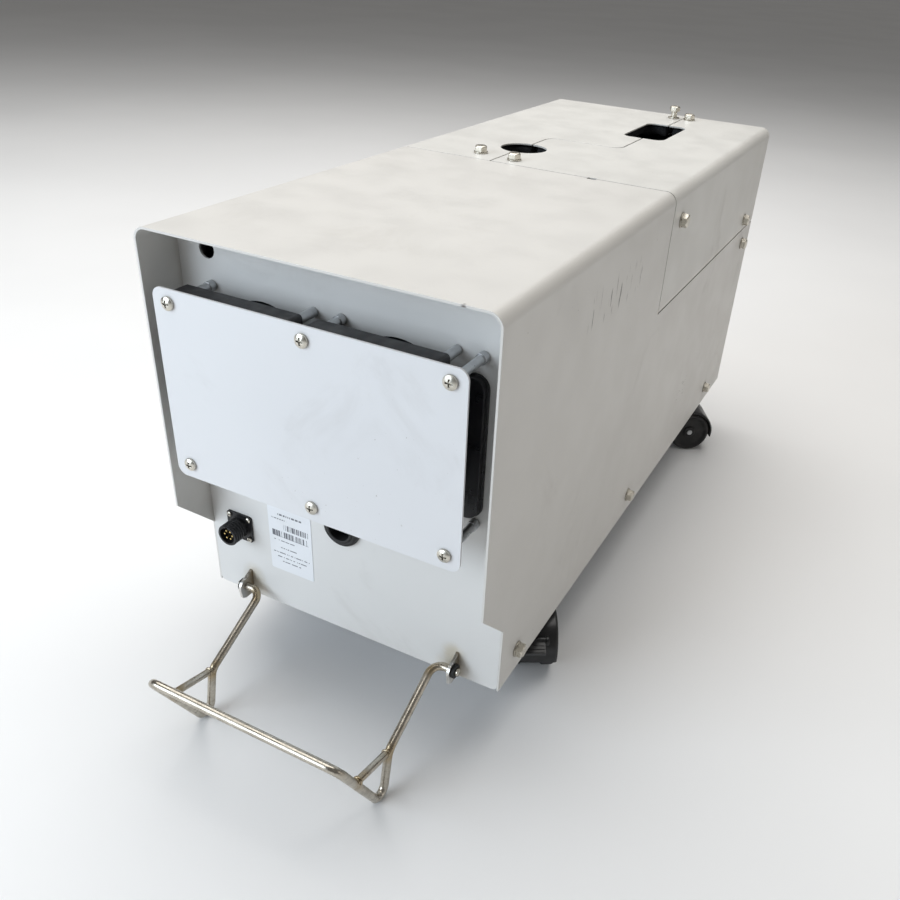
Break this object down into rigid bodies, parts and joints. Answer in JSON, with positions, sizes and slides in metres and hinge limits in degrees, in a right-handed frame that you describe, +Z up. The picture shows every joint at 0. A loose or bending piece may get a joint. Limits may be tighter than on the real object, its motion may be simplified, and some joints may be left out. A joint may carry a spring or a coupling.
{
  "type": "ventilated machine enclosure",
  "caption": "Long sheet metal noise hood on casters, with intake fans behind a baffle plate, hose ports in split rear covers and a fold-down wire bail.",
  "frame": {"origin": "centre of the overall footprint, on the floor", "axes": "+Z up; -Y is the fan end with the wire bail, +Y the rear; +X the right side seen from the fan end"},
  "size_m": [0.3848, 0.973, 0.476],
  "materials": {
    "white_paint": "fine textured off-white powder coat",
    "plate_paint": "smooth off-white paint",
    "sheet_galvanised": "zinc coated sheet, matt",
    "nickel_steel": "nickel plated, slightly yellowed",
    "zinc_steel": "bright zinc plate",
    "wire_steel": "bright plated wire",
    "bail_steel": "bare stainless rod, handled and stained at the welds",
    "ear_steel": "bare stainless sheet",
    "fan_plastic": "glass filled black plastic",
    "rotor_plastic": "black plastic",
    "black_plastic": "black plastic",
    "black_alloy": "black anodised or painted metal",
    "contact_brass": "gold coloured contacts",
    "black_rubber": "moulded black rubber",
    "label_film": "white satin film",
    "foam": "open cell acoustic foam",
    "caster_plastic": "black nylon",
    "caster_tread": "hard black tread"
  },
  "bodies": {
    "housing": {"base_tray": "sheet_galvanised", "front_wall": "white_paint", "rear_wall": "white_paint", "hood": "white_paint", "seam_arch": "sheet_galvanised", "lap_strips": "sheet_galvanised", "cover_left": "white_paint", "cover_right": "white_paint", "cover_bolts": "nickel_steel", "hood_bolts": "nickel_steel", "bolt_washers": "nickel_steel", "foam_hood": "foam", "foam_cover_left": "foam", "foam_cover_right": "foam", "foam_rear": "foam", "isolator_pads": "black_rubber", "isolator_caps": "zinc_steel", "baffle_plate": "plate_paint", "baffle_screws": "nickel_steel", "standoffs": "zinc_steel", "standoff_nuts": "zinc_steel", "fan_spacers": "zinc_steel", "fan_frame_left": "fan_plastic", "fan_frame_right": "fan_plastic", "fan_guard_left": "wire_steel", "fan_guard_right": "wire_steel", "fan_screws": "zinc_steel", "wiring_cover": "black_plastic", "connector_shell": "black_alloy", "connector_insert": "black_plastic", "connector_pins": "contact_brass", "connector_screws": "nickel_steel", "grommet": "black_rubber", "label": "label_film", "ear_left": "ear_steel", "ear_right": "ear_steel", "caster_plates": "zinc_steel", "caster_stems": "zinc_steel", "caster_bolts": "zinc_steel"},
    "bail": {"bail": "bail_steel", "rod_retainers": "black_plastic"},
    "fan_left": {"fan_rotor_left": "rotor_plastic"},
    "fan_right": {"fan_rotor_right": "rotor_plastic"},
    "caster_fl": {"caster_fork_fl": "caster_plastic"},
    "wheels_fl": {"caster_axle_fl": "zinc_steel", "caster_wheels_fl": "caster_tread"},
    "caster_fr": {"caster_fork_fr": "caster_plastic"},
    "wheels_fr": {"caster_axle_fr": "zinc_steel", "caster_wheels_fr": "caster_tread"},
    "caster_rl": {"caster_fork_rl": "caster_plastic"},
    "wheels_rl": {"caster_axle_rl": "zinc_steel", "caster_wheels_rl": "caster_tread"},
    "caster_rr": {"caster_fork_rr": "caster_plastic"},
    "wheels_rr": {"caster_axle_rr": "zinc_steel", "caster_wheels_rr": "caster_tread"},
    "pedal_fl": {"brake_pedal_fl": "caster_plastic"},
    "pedal_fr": {"brake_pedal_fr": "caster_plastic"}
  },
  "joints": [
    {"name": "bail_swing", "type": "hinge", "parent": "housing", "child": "bail", "pos_m": [0, -0.3295, 0.0895], "axis": [-1, 0, 0], "range_deg": [0, 68]},
    {"name": "fan_left_spin", "type": "hinge", "parent": "housing", "child": "fan_left", "pos_m": [-0.0765, -0.3555, 0.3525], "axis": [0, 1, 0], "continuous": true},
    {"name": "fan_right_spin", "type": "hinge", "parent": "housing", "child": "fan_right", "pos_m": [0.0555, -0.3555, 0.3525], "axis": [0, 1, 0], "continuous": true},
    {"name": "caster_fl_swivel", "type": "hinge", "parent": "housing", "child": "caster_fl", "pos_m": [-0.13, -0.1685, 0.06], "axis": [0, 0, 1], "continuous": true},
    {"name": "wheels_fl_roll", "type": "hinge", "parent": "caster_fl", "child": "wheels_fl", "pos_m": [-0.141, -0.18755, 0.03], "axis": [-0.866, 0.5, 0], "continuous": true},
    {"name": "brake_fl_press", "type": "hinge", "parent": "caster_fl", "child": "pedal_fl", "pos_m": [-0.15775, -0.21656, 0.054], "axis": [0.866, -0.5, 0], "range_deg": [0, 14]},
    {"name": "caster_fr_swivel", "type": "hinge", "parent": "housing", "child": "caster_fr", "pos_m": [0.13, -0.1685, 0.06], "axis": [0, 0, 1], "continuous": true},
    {"name": "wheels_fr_roll", "type": "hinge", "parent": "caster_fr", "child": "wheels_fr", "pos_m": [0.141, -0.18755, 0.03], "axis": [-0.866, -0.5, 0], "continuous": true},
    {"name": "brake_fr_press", "type": "hinge", "parent": "caster_fr", "child": "pedal_fr", "pos_m": [0.15775, -0.21656, 0.054], "axis": [0.866, 0.5, 0], "range_deg": [0, 14]},
    {"name": "caster_rl_swivel", "type": "hinge", "parent": "housing", "child": "caster_rl", "pos_m": [-0.13, 0.3745, 0.06], "axis": [0, 0, 1], "continuous": true},
    {"name": "wheels_rl_roll", "type": "hinge", "parent": "caster_rl", "child": "wheels_rl", "pos_m": [-0.14905, 0.3855, 0.03], "axis": [0.5, 0.866, 0], "continuous": true},
    {"name": "caster_rr_swivel", "type": "hinge", "parent": "housing", "child": "caster_rr", "pos_m": [0.13, 0.3745, 0.06], "axis": [0, 0, 1], "continuous": true},
    {"name": "wheels_rr_roll", "type": "hinge", "parent": "caster_rr", "child": "wheels_rr", "pos_m": [0.14905, 0.3855, 0.03], "axis": [0.5, -0.866, 0], "continuous": true}
  ]
}
